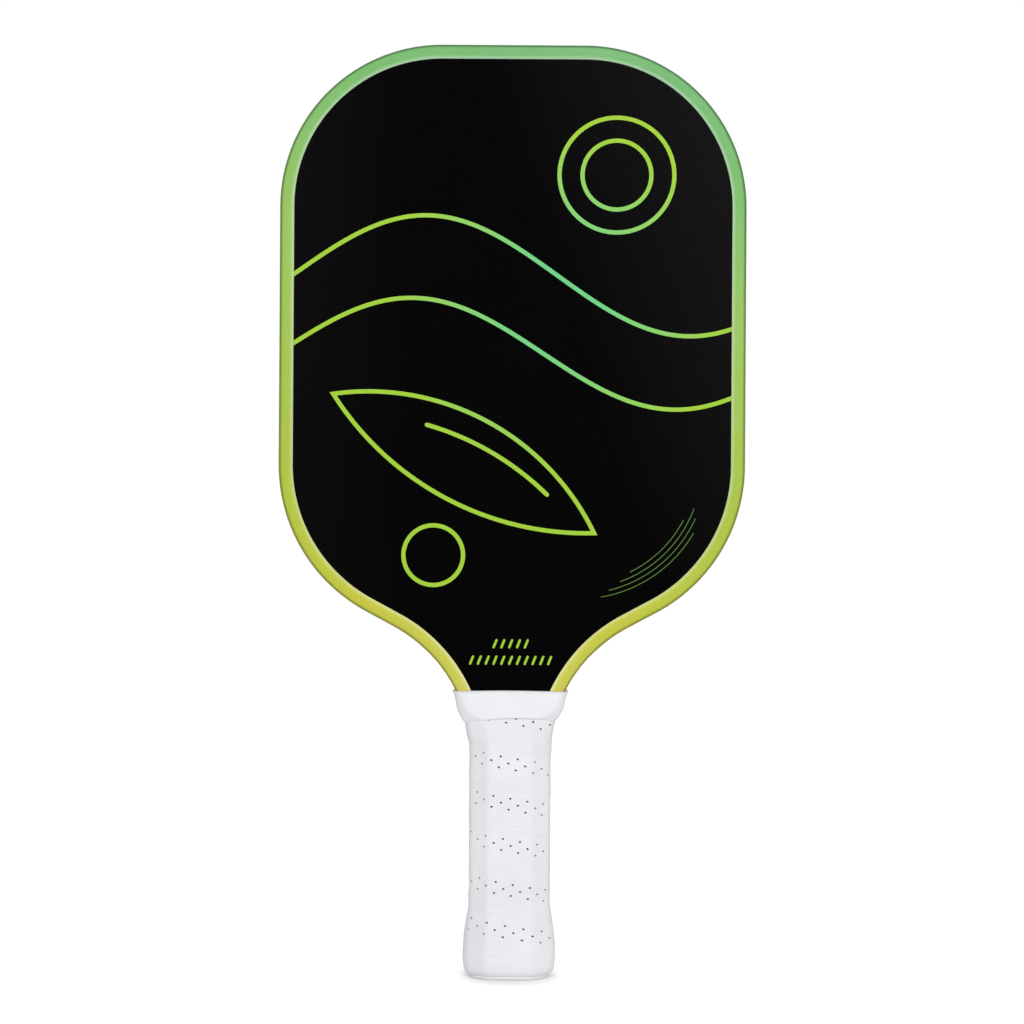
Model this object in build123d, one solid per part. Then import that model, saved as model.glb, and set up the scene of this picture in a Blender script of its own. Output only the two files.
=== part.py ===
from build123d import *
import math
import os

# Pickleball paddle, millimetres. +Z runs from the butt to the head, X across the
# face, Y through the thickness. The origin is the middle of the butt's underside.

# ---- outline of the whole paddle, measured over the edge guard ----
paddle_length = 406.4
paddle_width = 203.2
corner_radius = 70.5
shoulder_radius = 72.5
throat_radius = 64.5
throat_run = 14.0            # straight stretch between the shoulder and throat arcs
throat_end_height = 96.0     # where the throat runs into the handle
throat_end_half_width = 17.1

# ---- edge build-up, from the outside in ----
guard_web = 1.0
guard_lip_width = 6.2
guard_lip_thickness = 0.9
guard_rounding = 0.8
edge_tape_thickness = 0.2
edge_tape_width = 14.0
edge_ply_thickness = 0.3
foam_width = 8.0

# ---- lay-up through the thickness, from the middle out ----
core_thickness = 14.8
bond_film_thickness = 0.15
inner_ply_thickness = 0.25
face_ply_thickness = 0.2

# ---- honeycomb ----
cell_pitch = 8.0
cell_wall = 0.35
bond_line = 0.02             # glue line between the core and each film

# ---- handle ----
pallet_thickness = 4.35
pallet_top_thickness = 1.4
pallet_taper_start = 100.0
pallet_bevel = 7.1
grip_top = 117.5
backing_thickness = 1.0
wrap_thickness = 0.9
wrap_rounding = 2.2
butt_rounding = 8.5          # the corners grow rounder down the flare
guard_end_gap = 0.5          # from the grip's end to the ends of the edge guard
taper_steps = 5              # sections along the pallets' taper

# ---- butt cap ----
cap_floor = 3.0
cap_height = 28.0
cap_edge_wall = 0.5
cap_bulge_wall = 2.5
cap_bulge_height = 10.0
cap_tuck = 1.6               # how far the flare draws in again below its bulge
cap_foot_radius = 4.5        # and curls in at its foot
cap_rim_height = 1.6
cap_rim_inset = 0.6          # from the wrap's outside to the rim's outside
cap_rim_rounding = 1.4
flare_run_out = 3.0          # from the cap's top edge to the straight grip
flare_power = 1.8            # how full the flare's curve is
flare_steps = 7              # sections above the bulge
flare_foot_steps = 6         # and below it

# ---- staples ----
staple_wire = 0.9
staple_recess = 0.1          # of each crown below the cap's flat
cap_staple_crown = 8.0
cap_staple_leg = 5.0
cap_staple_height = 22.0
grip_staple_crown = 6.0
grip_staple_leg = 4.0
grip_staple_height = 9.0

# ---- finishing tape and collar ----
finishing_tape_thickness = 0.2
finishing_tape_width = 3.0
finishing_tape_set_back = 0.5
collar_height = 13.4
collar_rise = 7.5            # from the grip's end to the collar's top edge
collar_lip_wall = 0.5
collar_belly_wall = 2.6
collar_belly_drop = 6.5      # from the collar's top edge to its fullest point
collar_top_wall = 1.6
collar_bevel = 2.6
collar_rounding = 1.2
collar_steps = 3

# ---- what follows from those sizes ----
blade_half_thickness = core_thickness / 2 + bond_film_thickness + inner_ply_thickness + face_ply_thickness
guard_half_thickness = blade_half_thickness + guard_lip_thickness
blade_inset = guard_web + edge_tape_thickness
blank_inset = blade_inset + edge_ply_thickness
core_inset = blank_inset + foam_width
guard_end = grip_top + guard_end_gap
collar_top = grip_top + collar_rise
collar_bottom = collar_top - collar_height
handle_half_depth = blade_half_thickness + pallet_thickness
grip_thickness = backing_thickness + wrap_thickness
half_width = paddle_width / 2

# The shoulder arc, a straight run and the throat arc turn by the same angle, so
# that together they lead from the straight side in to the handle.
arcs = shoulder_radius + throat_radius
neck_in = half_width - throat_end_half_width
throat_angle = math.acos((arcs - neck_in) / math.hypot(arcs, throat_run)) - math.atan2(throat_run, arcs)
shoulder_height = throat_end_height + arcs * math.sin(throat_angle) + throat_run * math.cos(throat_angle)


# ---------------------------------------------------------------- outline
def outline_half_width(z, inset):
    """Half the width, at height z, of the outline drawn in by inset."""
    corner_z = paddle_length - corner_radius
    shoulder_end = shoulder_height - (shoulder_radius - inset) * math.sin(throat_angle)
    throat_start = throat_end_height + (throat_radius + inset) * math.sin(throat_angle)
    if z > corner_z:
        rise = min(z - corner_z, corner_radius - inset)
        return half_width - corner_radius + math.sqrt((corner_radius - inset) ** 2 - rise**2)
    if z > shoulder_height:
        return half_width - inset
    if z > shoulder_end:
        drop = shoulder_height - z
        return half_width - shoulder_radius + math.sqrt((shoulder_radius - inset) ** 2 - drop**2)
    if z > throat_start:
        start_x = throat_end_half_width + throat_radius - (throat_radius + inset) * math.cos(throat_angle)
        return start_x + (z - throat_start) * math.tan(throat_angle)
    if z > throat_end_height:
        rise = z - throat_end_height
        return throat_end_half_width + throat_radius - math.sqrt((throat_radius + inset) ** 2 - rise**2)
    return throat_end_half_width - inset


def arc_edge(centre_x, centre_z, radius, first, last):
    """An arc on the X-Z plane, between two angles in degrees."""
    points = []
    for angle in (first, (first + last) / 2, last):
        turn = math.radians(angle)
        points.append((centre_x + radius * math.cos(turn), 0, centre_z + radius * math.sin(turn)))
    return Edge.make_three_point_arc(*points)


def outline_face(inset, bottom):
    """The paddle's outline drawn in by inset, cut off straight at height bottom."""
    theta = math.degrees(throat_angle)
    corner = arc_edge(half_width - corner_radius, paddle_length - corner_radius, corner_radius - inset, 90, 0)
    shoulder = arc_edge(half_width - shoulder_radius, shoulder_height, shoulder_radius - inset, 0, -theta)
    throat_x = throat_end_half_width + throat_radius
    if bottom > throat_end_height:
        rise = math.degrees(math.asin((bottom - throat_end_height) / (throat_radius + inset)))
    else:
        rise = 0
    throat = arc_edge(throat_x, throat_end_height, throat_radius + inset, 180 - theta, 180 - rise)
    right = [corner, Edge.make_line(corner @ 1, shoulder @ 0), shoulder]
    right += [Edge.make_line(shoulder @ 1, throat @ 0), throat]
    if bottom < throat_end_height:
        right.append(Edge.make_line(throat @ 1, (throat_end_half_width - inset, 0, bottom)))
    foot = right[-1] @ 1
    left = [edge.mirror(Plane.YZ) for edge in right]
    top = Edge.make_line(left[0] @ 0, corner @ 0)
    base = Edge.make_line(foot, (-foot.X, 0, foot.Z))
    return Face(Wire([top, *right, base, *left]))


def slab(face, inner, outer):
    """The layer that a face on the X-Z plane makes between two distances in front of the middle."""
    return extrude(Pos(0, -inner, 0) * face, amount=outer - inner, dir=(0, -1, 0))


def plate(face, half_thickness):
    """A slab centred on the X-Z plane."""
    return slab(face, -half_thickness, half_thickness)


def band(outer_inset, inner_inset, thickness, bottom):
    """A strip round the outline, centred in the thickness and open at the handle."""
    return plate(outline_face(outer_inset, bottom) - outline_face(inner_inset, bottom), thickness / 2)


# ---------------------------------------------------------------- blade
def cell_face(x, z, radius):
    """One hexagonal cell on the X-Z plane."""
    turns = [math.radians(60 * k) for k in range(6)]
    corners = [(x + radius * math.cos(t), 0, z + radius * math.sin(t)) for t in turns]
    return Face(Wire.make_polygon(corners, close=True))


def cell_centres():
    """Centres of a honeycomb that covers the core's outline."""
    column_pitch = cell_pitch * math.sqrt(3) / 2
    columns = math.ceil(half_width / column_pitch)
    rows = math.ceil(paddle_length / cell_pitch)
    for i in range(-columns, columns + 1):
        for j in range(rows + 1):
            yield i * column_pitch, (j + i % 2 / 2) * cell_pitch


def corners_inside(x, z, radius, inset):
    """How many of a cell's six corners lie inside the outline drawn in by inset."""
    count = 0
    for k in range(6):
        corner_x = x + radius * math.cos(math.radians(60 * k))
        corner_z = z + radius * math.sin(math.radians(60 * k))
        high_enough = cap_floor + inset - core_inset < corner_z < paddle_length - inset
        count += high_enough and abs(corner_x) < outline_half_width(corner_z, inset)
    return count


def make_honeycomb_core():
    """Open hexagonal cells, trimmed to the outline like a routed sheet."""
    cell_radius = (cell_pitch - cell_wall) / math.sqrt(3)
    whole = []
    cut = []
    for x, z in cell_centres():
        if corners_inside(x, z, cell_radius, core_inset + cell_wall) == 6:
            whole.append(cell_face(x, z, cell_radius))
        elif corners_inside(x, z, cell_radius, core_inset) > 0:
            cut.append(cell_face(x, z, cell_radius))
    sheet = outline_face(core_inset, cap_floor).cut(*cut)
    sheet = max(sheet.faces(), key=lambda face: face.area)
    holes = [face.outer_wire() for face in whole] + list(sheet.inner_wires())
    sheet = Face(sheet.outer_wire(), holes)
    return plate(sheet, core_thickness / 2 - bond_line)


def make_layers():
    """The film, inner ply and face ply of the front."""
    blank = outline_face(blank_inset, cap_floor)
    core_face = core_thickness / 2
    film_face = core_face + bond_film_thickness
    inner_face = film_face + inner_ply_thickness
    film = slab(blank, core_face, film_face)
    inner = slab(blank, film_face, inner_face)
    outer = slab(blank, inner_face, blade_half_thickness)
    return film, inner, outer


def make_edge_guard():
    """A channel with two lips, its outer edges rounded."""
    bar = plate(outline_face(0, guard_end), guard_half_thickness)
    outer_edges = [
        edge
        for edge in bar.edges()
        if abs(abs(edge.center().Y) - guard_half_thickness) < 1e-6 and edge.center().Z > guard_end + 1e-6
    ]
    bar = fillet(outer_edges, radius=min(guard_rounding, 0.95 * guard_lip_thickness))
    window = plate(outline_face(guard_lip_width, guard_end), guard_half_thickness)
    slot = plate(outline_face(guard_web, guard_end), blade_half_thickness)
    return bar - window - slot


# ---------------------------------------------------------------- handle sections
def pallet_half_depth(z):
    """Half the bare handle's depth, which tapers towards the blade."""
    share = min(1, max(0, (z - pallet_taper_start) / (grip_top - pallet_taper_start)))
    return handle_half_depth - share * (pallet_thickness - pallet_top_thickness)


def octagon_wire(z, side_x, flat_y, bevel_x, bevel_y, rounding):
    """A flat-sided handle section: flats at side_x and flat_y, bevels between."""
    quarter = [(side_x, bevel_y), (bevel_x, flat_y)]
    corners = quarter + [(-x, y) for x, y in reversed(quarter)]
    corners += [(-x, -y) for x, y in quarter] + [(x, -y) for x, y in reversed(quarter)]
    points = [(x, y, z) for x, y in corners]
    if rounding > 0:
        wire = FilletPolyline(*points, radius=rounding, close=True)
        return Wire(wire.edges())
    return Wire.make_polygon(points, close=True)


def handle_corners(z, offset):
    """Sides, flats and bevels of the bare handle's section at height z, grown outwards by offset."""
    side_x = outline_half_width(z, blade_inset)
    flat_y = pallet_half_depth(z)
    fall = flat_y - blade_half_thickness
    length = math.hypot(fall, pallet_bevel)
    normal_x = fall / length
    normal_y = pallet_bevel / length
    reach = normal_x * side_x + normal_y * blade_half_thickness + offset
    bevel_x = (reach - normal_y * (flat_y + offset)) / normal_x
    bevel_y = (reach - normal_x * (side_x + offset)) / normal_y
    return side_x + offset, flat_y + offset, bevel_x, bevel_y


def handle_section(z, offset, rounding=0):
    """The bare handle's section at height z, grown outwards by offset."""
    return octagon_wire(z, *handle_corners(z, offset), rounding)


def heights(low, high, steps):
    """Evenly spaced heights from low to high."""
    return [low + (high - low) * k / steps for k in range(steps + 1)]


def cap_wall(z):
    """Wall of the butt cap outside the bare handle, which gives the grip its flare."""
    if z <= cap_bulge_height:
        curl_drop = max(0, cap_foot_radius - z)
        curl = cap_foot_radius - math.sqrt(cap_foot_radius**2 - curl_drop**2)
        return cap_bulge_wall - cap_tuck * ((cap_bulge_height - z) / cap_bulge_height) ** 2 - curl
    share = min(1, (z - cap_bulge_height) / (cap_height - cap_bulge_height))
    return cap_edge_wall + (cap_bulge_wall - cap_edge_wall) * (1 - share**flare_power)


def flare(z):
    """How far the surface under the grip stands out from the bare handle."""
    if z <= cap_height:
        return cap_wall(z)
    return cap_edge_wall * max(0, 1 - (z - cap_height) / flare_run_out)


def flare_heights():
    """Section heights through the butt's flare, from the rim to the cap's top edge."""
    foot = heights(cap_rim_height, cap_bulge_height, flare_foot_steps)
    return foot[:-1] + heights(cap_bulge_height, cap_height, flare_steps)


def neck_heights():
    """Section heights where the handle meets the throat."""
    return sorted({throat_end_height, *heights(pallet_taper_start, grip_top, taper_steps)})


def grip_heights():
    """Section heights of the grip's layers."""
    return flare_heights() + [cap_height + flare_run_out] + neck_heights()


def corner_rounding(z):
    """Rounding of the wrap's long corners at height z."""
    return wrap_rounding + (butt_rounding - wrap_rounding) * max(0, 1 - z / cap_height)


def backing_blank():
    """Everything inside the backing's outer surface, rounded so that the wrap's wall is even."""
    sections = []
    for z in grip_heights():
        sections.append(handle_section(z, flare(z) + backing_thickness, corner_rounding(z) - wrap_thickness))
    return Solid.make_loft(sections, ruled=True)


def grip_blank():
    """Everything inside the wrap's outer surface."""
    sections = [handle_section(z, flare(z) + grip_thickness, corner_rounding(z)) for z in grip_heights()]
    return Solid.make_loft(sections, ruled=True)


def handle_blank():
    """The bare handle, from the cap's floor to the grip's end."""
    return Solid.make_loft([handle_section(z, 0) for z in [cap_floor] + neck_heights()], ruled=True)


def cap_blank():
    """The flared body of the cap, above its rim."""
    return Solid.make_loft([handle_section(z, cap_wall(z)) for z in flare_heights()], ruled=True)


# ---------------------------------------------------------------- handle pieces
def make_front_pallet():
    """The front half of the handle's build-up, with bevelled edges and a tapered top."""
    sections = []
    for z in [cap_floor] + neck_heights():
        side = outline_half_width(z, blade_inset)
        depth = pallet_half_depth(z)
        corners = [(side, -blade_half_thickness, z), (side - pallet_bevel, -depth, z)]
        corners += [(-x, y, z) for x, y, z in reversed(corners)]
        sections.append(Wire.make_polygon(corners, close=True))
    return Solid.make_loft(sections, ruled=True)


def make_butt_cap(handle):
    """A flared cap with a rim at its foot and a socket for the handle."""
    rim_offset = cap_wall(cap_rim_height) + grip_thickness - cap_rim_inset
    rim_wire = handle_section(0, rim_offset, butt_rounding)
    rim = extrude(Face(rim_wire), amount=cap_rim_height, dir=(0, 0, 1))
    foot_edges = [edge for edge in rim.edges() if edge.center().Z < 1e-6]
    rim = fillet(foot_edges, radius=min(cap_rim_rounding, 0.9 * cap_rim_height))
    return rim + cap_blank() - handle


def staple(crown, leg, height, seat):
    """A square-wire staple driven from the front, with its crown's outside at seat."""
    back = Pos(0, -seat + staple_wire / 2, height) * Box(crown, staple_wire, staple_wire)
    shape = back
    for side in (-1, 1):
        leg_x = side * (crown - staple_wire) / 2
        shape += Pos(leg_x, -seat + leg / 2, height) * Box(staple_wire, leg, staple_wire)
    return shape


def staple_pocket(crown, leg, height, seat):
    """The staple and the open recess over its crown."""
    over = Pos(0, -seat - grip_thickness / 2, height) * Box(crown, grip_thickness, staple_wire)
    return staple(crown, leg, height, seat) + over


def staple_seat(height):
    """Distance from the middle to the outside of a crown that is set into the cap's flat."""
    wall = min(cap_wall(height - staple_wire / 2), cap_wall(height + staple_wire / 2))
    return handle_half_depth + wall - staple_recess


def make_finishing_tape(grip):
    """A thin turn of tape over the grip's upper end."""
    top = grip_top - finishing_tape_set_back
    stations = heights(top - finishing_tape_width, top, 2)
    outer = grip_thickness + finishing_tape_thickness
    return Solid.make_loft([handle_section(z, outer, wrap_rounding) for z in stations], ruled=True) - grip


def collar_section(z):
    """The collar's outer section: over the grip at its foot, over the guard at its top."""
    drop = collar_top - z
    upper = min(1, max(0, (z - collar_bottom) / (collar_height - collar_belly_drop)))
    if drop > collar_belly_drop:
        wall = collar_lip_wall + (collar_belly_wall - collar_lip_wall) * math.sin(upper * math.pi / 2)
    else:
        wall = collar_top_wall + (collar_belly_wall - collar_top_wall) * (drop / collar_belly_drop) ** 2
    share = (z - collar_bottom) / collar_height
    lip_offset = grip_thickness + finishing_tape_thickness + collar_lip_wall
    lip_x, lip_y, lip_bevel_x, lip_bevel_y = handle_corners(collar_bottom, lip_offset)
    flat_y = lip_y + share * (guard_half_thickness + collar_top_wall - lip_y)
    grip_x = outline_half_width(z, blade_inset) + grip_thickness
    guard_x = outline_half_width(z, 0)
    side_x = max(grip_x + (guard_x - grip_x) * upper, guard_x) + wall
    bevel = (lip_x - lip_bevel_x) * (1 - share) + collar_bevel * share
    fall = (lip_y - lip_bevel_y) * (1 - share) + collar_bevel * share
    return octagon_wire(z, side_x, flat_y, side_x - bevel, flat_y - fall, collar_rounding)


def make_collar(inside):
    """A rubber ring round the throat, fitted to all that it covers."""
    stations = heights(collar_bottom, collar_top - collar_belly_drop, collar_steps)[:-1]
    stations += heights(collar_top - collar_belly_drop, collar_top, collar_steps)
    ring = Solid.make_loft([collar_section(z) for z in stations], ruled=True)
    for solid in inside:
        ring = ring - solid
    return ring


# ---------------------------------------------------------------- assembly
def build():
    """Every piece of the paddle, by node name."""
    film, inner_ply, face_ply = make_layers()
    foam = band(blank_inset, core_inset, core_thickness, cap_floor)
    edge_ply = band(blade_inset, blank_inset, 2 * blade_half_thickness, cap_floor)
    edge_tape = band(guard_web, blade_inset, edge_tape_width, guard_end)
    guard = make_edge_guard()

    handle = handle_blank()
    pallet = make_front_pallet()
    cap = make_butt_cap(handle)
    under_wrap = backing_blank()
    grip = grip_blank()
    tape = make_finishing_tape(grip)
    blade = plate(outline_face(0, grip_top), blade_half_thickness)
    collar = make_collar([grip, tape, blade, guard])

    cap_seat = staple_seat(cap_staple_height)
    cap_staple = staple(cap_staple_crown, cap_staple_leg, cap_staple_height, cap_seat)
    cap_pocket = staple_pocket(cap_staple_crown, cap_staple_leg, cap_staple_height, cap_seat)
    grip_seat = staple_seat(grip_staple_height)
    grip_staple = staple(grip_staple_crown, grip_staple_leg, grip_staple_height, grip_seat)
    grip_pocket = staple_pocket(grip_staple_crown, grip_staple_leg, grip_staple_height, grip_seat)

    def back(shape):
        return mirror(shape, about=Plane.XZ)

    return {
        "honeycomb_core": make_honeycomb_core(),
        "edge_foam": foam,
        "edge_wrap_ply": edge_ply,
        "edge_tape": edge_tape,
        "edge_guard": guard,
        "front_bond_film": film,
        "back_bond_film": back(film),
        "front_inner_ply": inner_ply,
        "back_inner_ply": back(inner_ply),
        "front_face_ply": face_ply,
        "back_face_ply": back(face_ply),
        "front_handle_pallet": pallet - cap_pocket,
        "back_handle_pallet": back(pallet - cap_pocket - grip_pocket),
        "butt_cap": cap - cap_pocket - back(cap_pocket) - back(grip_pocket),
        "butt_cap_staples": Compound([*cap_staple.solids(), *back(cap_staple).solids()]),
        "grip_start_staple": back(grip_staple),
        "grip_backing": under_wrap - cap_blank() - handle,
        "grip_wrap": grip - under_wrap,
        "finishing_tape": tape,
        "grip_collar": collar,
    }


os.makedirs("parts", exist_ok=True)
for node, shape in build().items():
    # The honeycomb's flat faces need no curves in their own parameters, which would triple its file.
    export_step(shape, f"parts/{node}.step", write_pcurves=node != "honeycomb_core")
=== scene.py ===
import math

import bmesh
import bpy
import numpy as np
from mathutils import Matrix, Vector


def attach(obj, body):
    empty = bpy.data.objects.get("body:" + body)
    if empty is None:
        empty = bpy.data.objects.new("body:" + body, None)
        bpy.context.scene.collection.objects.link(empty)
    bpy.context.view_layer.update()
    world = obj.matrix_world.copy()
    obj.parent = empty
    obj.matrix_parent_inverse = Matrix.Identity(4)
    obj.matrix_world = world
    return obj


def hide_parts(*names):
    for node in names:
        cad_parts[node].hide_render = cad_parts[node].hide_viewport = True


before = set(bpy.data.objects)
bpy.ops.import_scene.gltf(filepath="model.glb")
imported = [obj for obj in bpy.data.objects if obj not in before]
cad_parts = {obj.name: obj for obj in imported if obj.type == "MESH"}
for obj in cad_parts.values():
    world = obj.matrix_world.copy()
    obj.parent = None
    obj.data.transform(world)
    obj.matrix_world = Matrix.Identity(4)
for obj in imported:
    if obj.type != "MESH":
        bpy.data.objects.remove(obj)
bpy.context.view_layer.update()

# The looks of a pickleball paddle. Sizes and heights are in millimetres, as in
# the part's source, and each finished mesh is put into metres by MM.
MM = 0.001

# ---- outline, shared with the solids ----
paddle_length = 406.4
half_width = 101.6
corner_radius = 70.5
shoulder_radius = 72.5
throat_radius = 64.5
throat_run = 14.0
throat_end_height = 96.0
throat_end_half_width = 17.1
blade_half_thickness = 8.0
blade_inset = 1.2
guard_half_thickness = 8.9
guard_lip_width = 6.2
guard_web = 1.0
guard_end = 118.0

# ---- handle, shared with the solids ----
handle_half_depth = 12.35
pallet_taper = 2.95
pallet_taper_start = 100.0
pallet_bevel = 7.1
grip_foot = 1.6
grip_top = 117.5
backing_thickness = 1.0
grip_thickness = 1.9
tape_thickness = 0.2
cap_height = 28.0
cap_edge_wall = 0.5
cap_bulge_wall = 2.5
cap_bulge_height = 10.0
cap_tuck = 1.6
cap_foot_radius = 4.5
flare_run_out = 3.0
flare_power = 1.8
collar_bottom = 111.6
collar_top = 125.0
collar_lip_wall = 0.5
collar_belly_wall = 2.6
collar_belly_drop = 6.5
collar_top_wall = 1.6
collar_bevel = 2.6

arcs = shoulder_radius + throat_radius
neck_in = half_width - throat_end_half_width
throat_angle = math.acos((arcs - neck_in) / math.hypot(arcs, throat_run)) - math.atan2(throat_run, arcs)
shoulder_height = throat_end_height + arcs * math.sin(throat_angle) + throat_run * math.cos(throat_angle)
shoulder_x = half_width - shoulder_radius
collar_height = collar_top - collar_bottom


# ---- objects and node trees ----
def new_object(name, data):
    """An object of its own in the scene."""
    thing = bpy.data.objects.new(name, data)
    bpy.context.scene.collection.objects.link(thing)
    return thing


class Nodes:
    """A node tree, with a short way to add to it."""

    def __init__(self, tree):
        self.tree = tree

    def link(self, output, socket):
        self.tree.links.new(output, socket)

    def add(self, kind, inputs=(), **settings):
        """A node with its settings, and its inputs set or linked."""
        node = self.tree.nodes.new(kind)
        for name, value in settings.items():
            setattr(node, name, value)
        for key, value in dict(inputs).items():
            if isinstance(value, bpy.types.NodeSocket):
                self.link(value, node.inputs[key])
            else:
                node.inputs[key].default_value = value
        return node


# ---- camera and stage ----
def set_camera(distance, view_width, aim, roll):
    """A long lens, level in front of the face."""
    lens = bpy.data.cameras.new("camera")
    lens.lens = lens.sensor_width * distance / view_width
    camera = new_object("camera", lens)
    camera.location = (aim[0], -distance, aim[1])
    camera.rotation_euler = (math.pi / 2, -roll, 0)
    bpy.context.scene.camera = camera


def add_lamp(name, place, target, size, watts):
    """A soft square lamp that looks at a point."""
    light = bpy.data.lights.new(name, "AREA")
    light.size = size
    light.energy = watts
    lamp = new_object(name, light)
    lamp.location = place
    aim = Vector(target) - Vector(place)
    lamp.rotation_euler = aim.to_track_quat("-Z", "Y").to_euler()


def seen_directly(nodes):
    """A socket that is 1 for the camera's rays, also those mirrored or let through."""
    path = nodes.add("ShaderNodeLightPath").outputs
    seen = path["Is Camera Ray"]
    for kind in ("Is Glossy Ray", "Is Transmission Ray"):
        seen = nodes.add("ShaderNodeMath", {0: seen, 1: path[kind]}, operation="MAXIMUM").outputs[0]
    return seen


def set_world(ambient):
    """White where the camera or a reflection sees it, and a softer level as light."""
    world = bpy.data.worlds.new("studio")
    world.use_nodes = True
    nodes = Nodes(world.node_tree)
    white = (1, 1, 1, 1)
    light = nodes.tree.nodes["Background"]
    light.inputs["Color"].default_value = white
    light.inputs["Strength"].default_value = ambient
    backdrop = nodes.add("ShaderNodeBackground", {"Color": white})
    mix = nodes.add("ShaderNodeMixShader", {
        0: seen_directly(nodes), 1: light.outputs[0], 2: backdrop.outputs[0]})
    nodes.link(mix.outputs[0], nodes.tree.nodes["World Output"].inputs["Surface"])
    bpy.context.scene.world = world


def add_floor(near, far, near_lift, far_lift):
    """A pale floor that keeps the real contact shadow and glows up to white between near and far. The glow
    is weak inside near, which paints a darker oval round the paddle's foot on top of the real shadow.
    """
    material = bpy.data.materials.new("studio_floor")
    material.use_nodes = True
    nodes = Nodes(material.node_tree)
    nodes.tree.nodes.remove(nodes.tree.nodes["Principled BSDF"])
    place = nodes.add("ShaderNodeTexCoord").outputs["Object"]
    squeeze = (1.0, 0.9, 1.0)
    oval = nodes.add("ShaderNodeVectorMath", {0: place, 1: squeeze}, operation="MULTIPLY")
    distance = nodes.add("ShaderNodeVectorMath", {0: oval.outputs[0]}, operation="LENGTH")
    # Painted shadow: little glow close to the foot, rising to white further out.
    fade = nodes.add("ShaderNodeMapRange", {
        0: distance.outputs["Value"], 1: near, 2: far, 3: near_lift, 4: far_lift})
    level = nodes.add("ShaderNodeMath", {0: seen_directly(nodes), 1: fade.outputs[0]},
                      operation="MULTIPLY")
    paint = nodes.add("ShaderNodeBsdfDiffuse", {"Color": (0.9, 0.9, 0.9, 1)})
    glow = nodes.add("ShaderNodeEmission", {"Strength": level.outputs[0]})
    both = nodes.add("ShaderNodeAddShader", {0: paint.outputs[0], 1: glow.outputs[0]})
    nodes.link(both.outputs[0], nodes.tree.nodes["Material Output"].inputs["Surface"])
    mesh = bpy.data.meshes.new("floor")
    reach = 6.0
    corners = [(-reach, -reach, 0), (reach, -reach, 0), (reach, reach, 0), (-reach, reach, 0)]
    mesh.from_pydata(corners, [], [(0, 1, 2, 3)])
    mesh.materials.append(material)
    floor = new_object("floor", mesh)


bpy.context.scene.view_settings.view_transform = "Standard"
set_camera(distance=1.1, view_width=0.4492, aim=(0.0002, 0.2030), roll=0.0062)
set_world(ambient=0.39)
add_lamp("front_softbox", place=(0.21, -2.0, 0.9), target=(0, 0, 0.2), size=1.0, watts=25.3)
add_lamp("back_softbox", place=(-0.25, 2.2, 1.0), target=(0, 0, 0.2), size=1.6, watts=24)
add_floor(near=0.0125, far=0.037, near_lift=0.05, far_lift=0.7)


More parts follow.
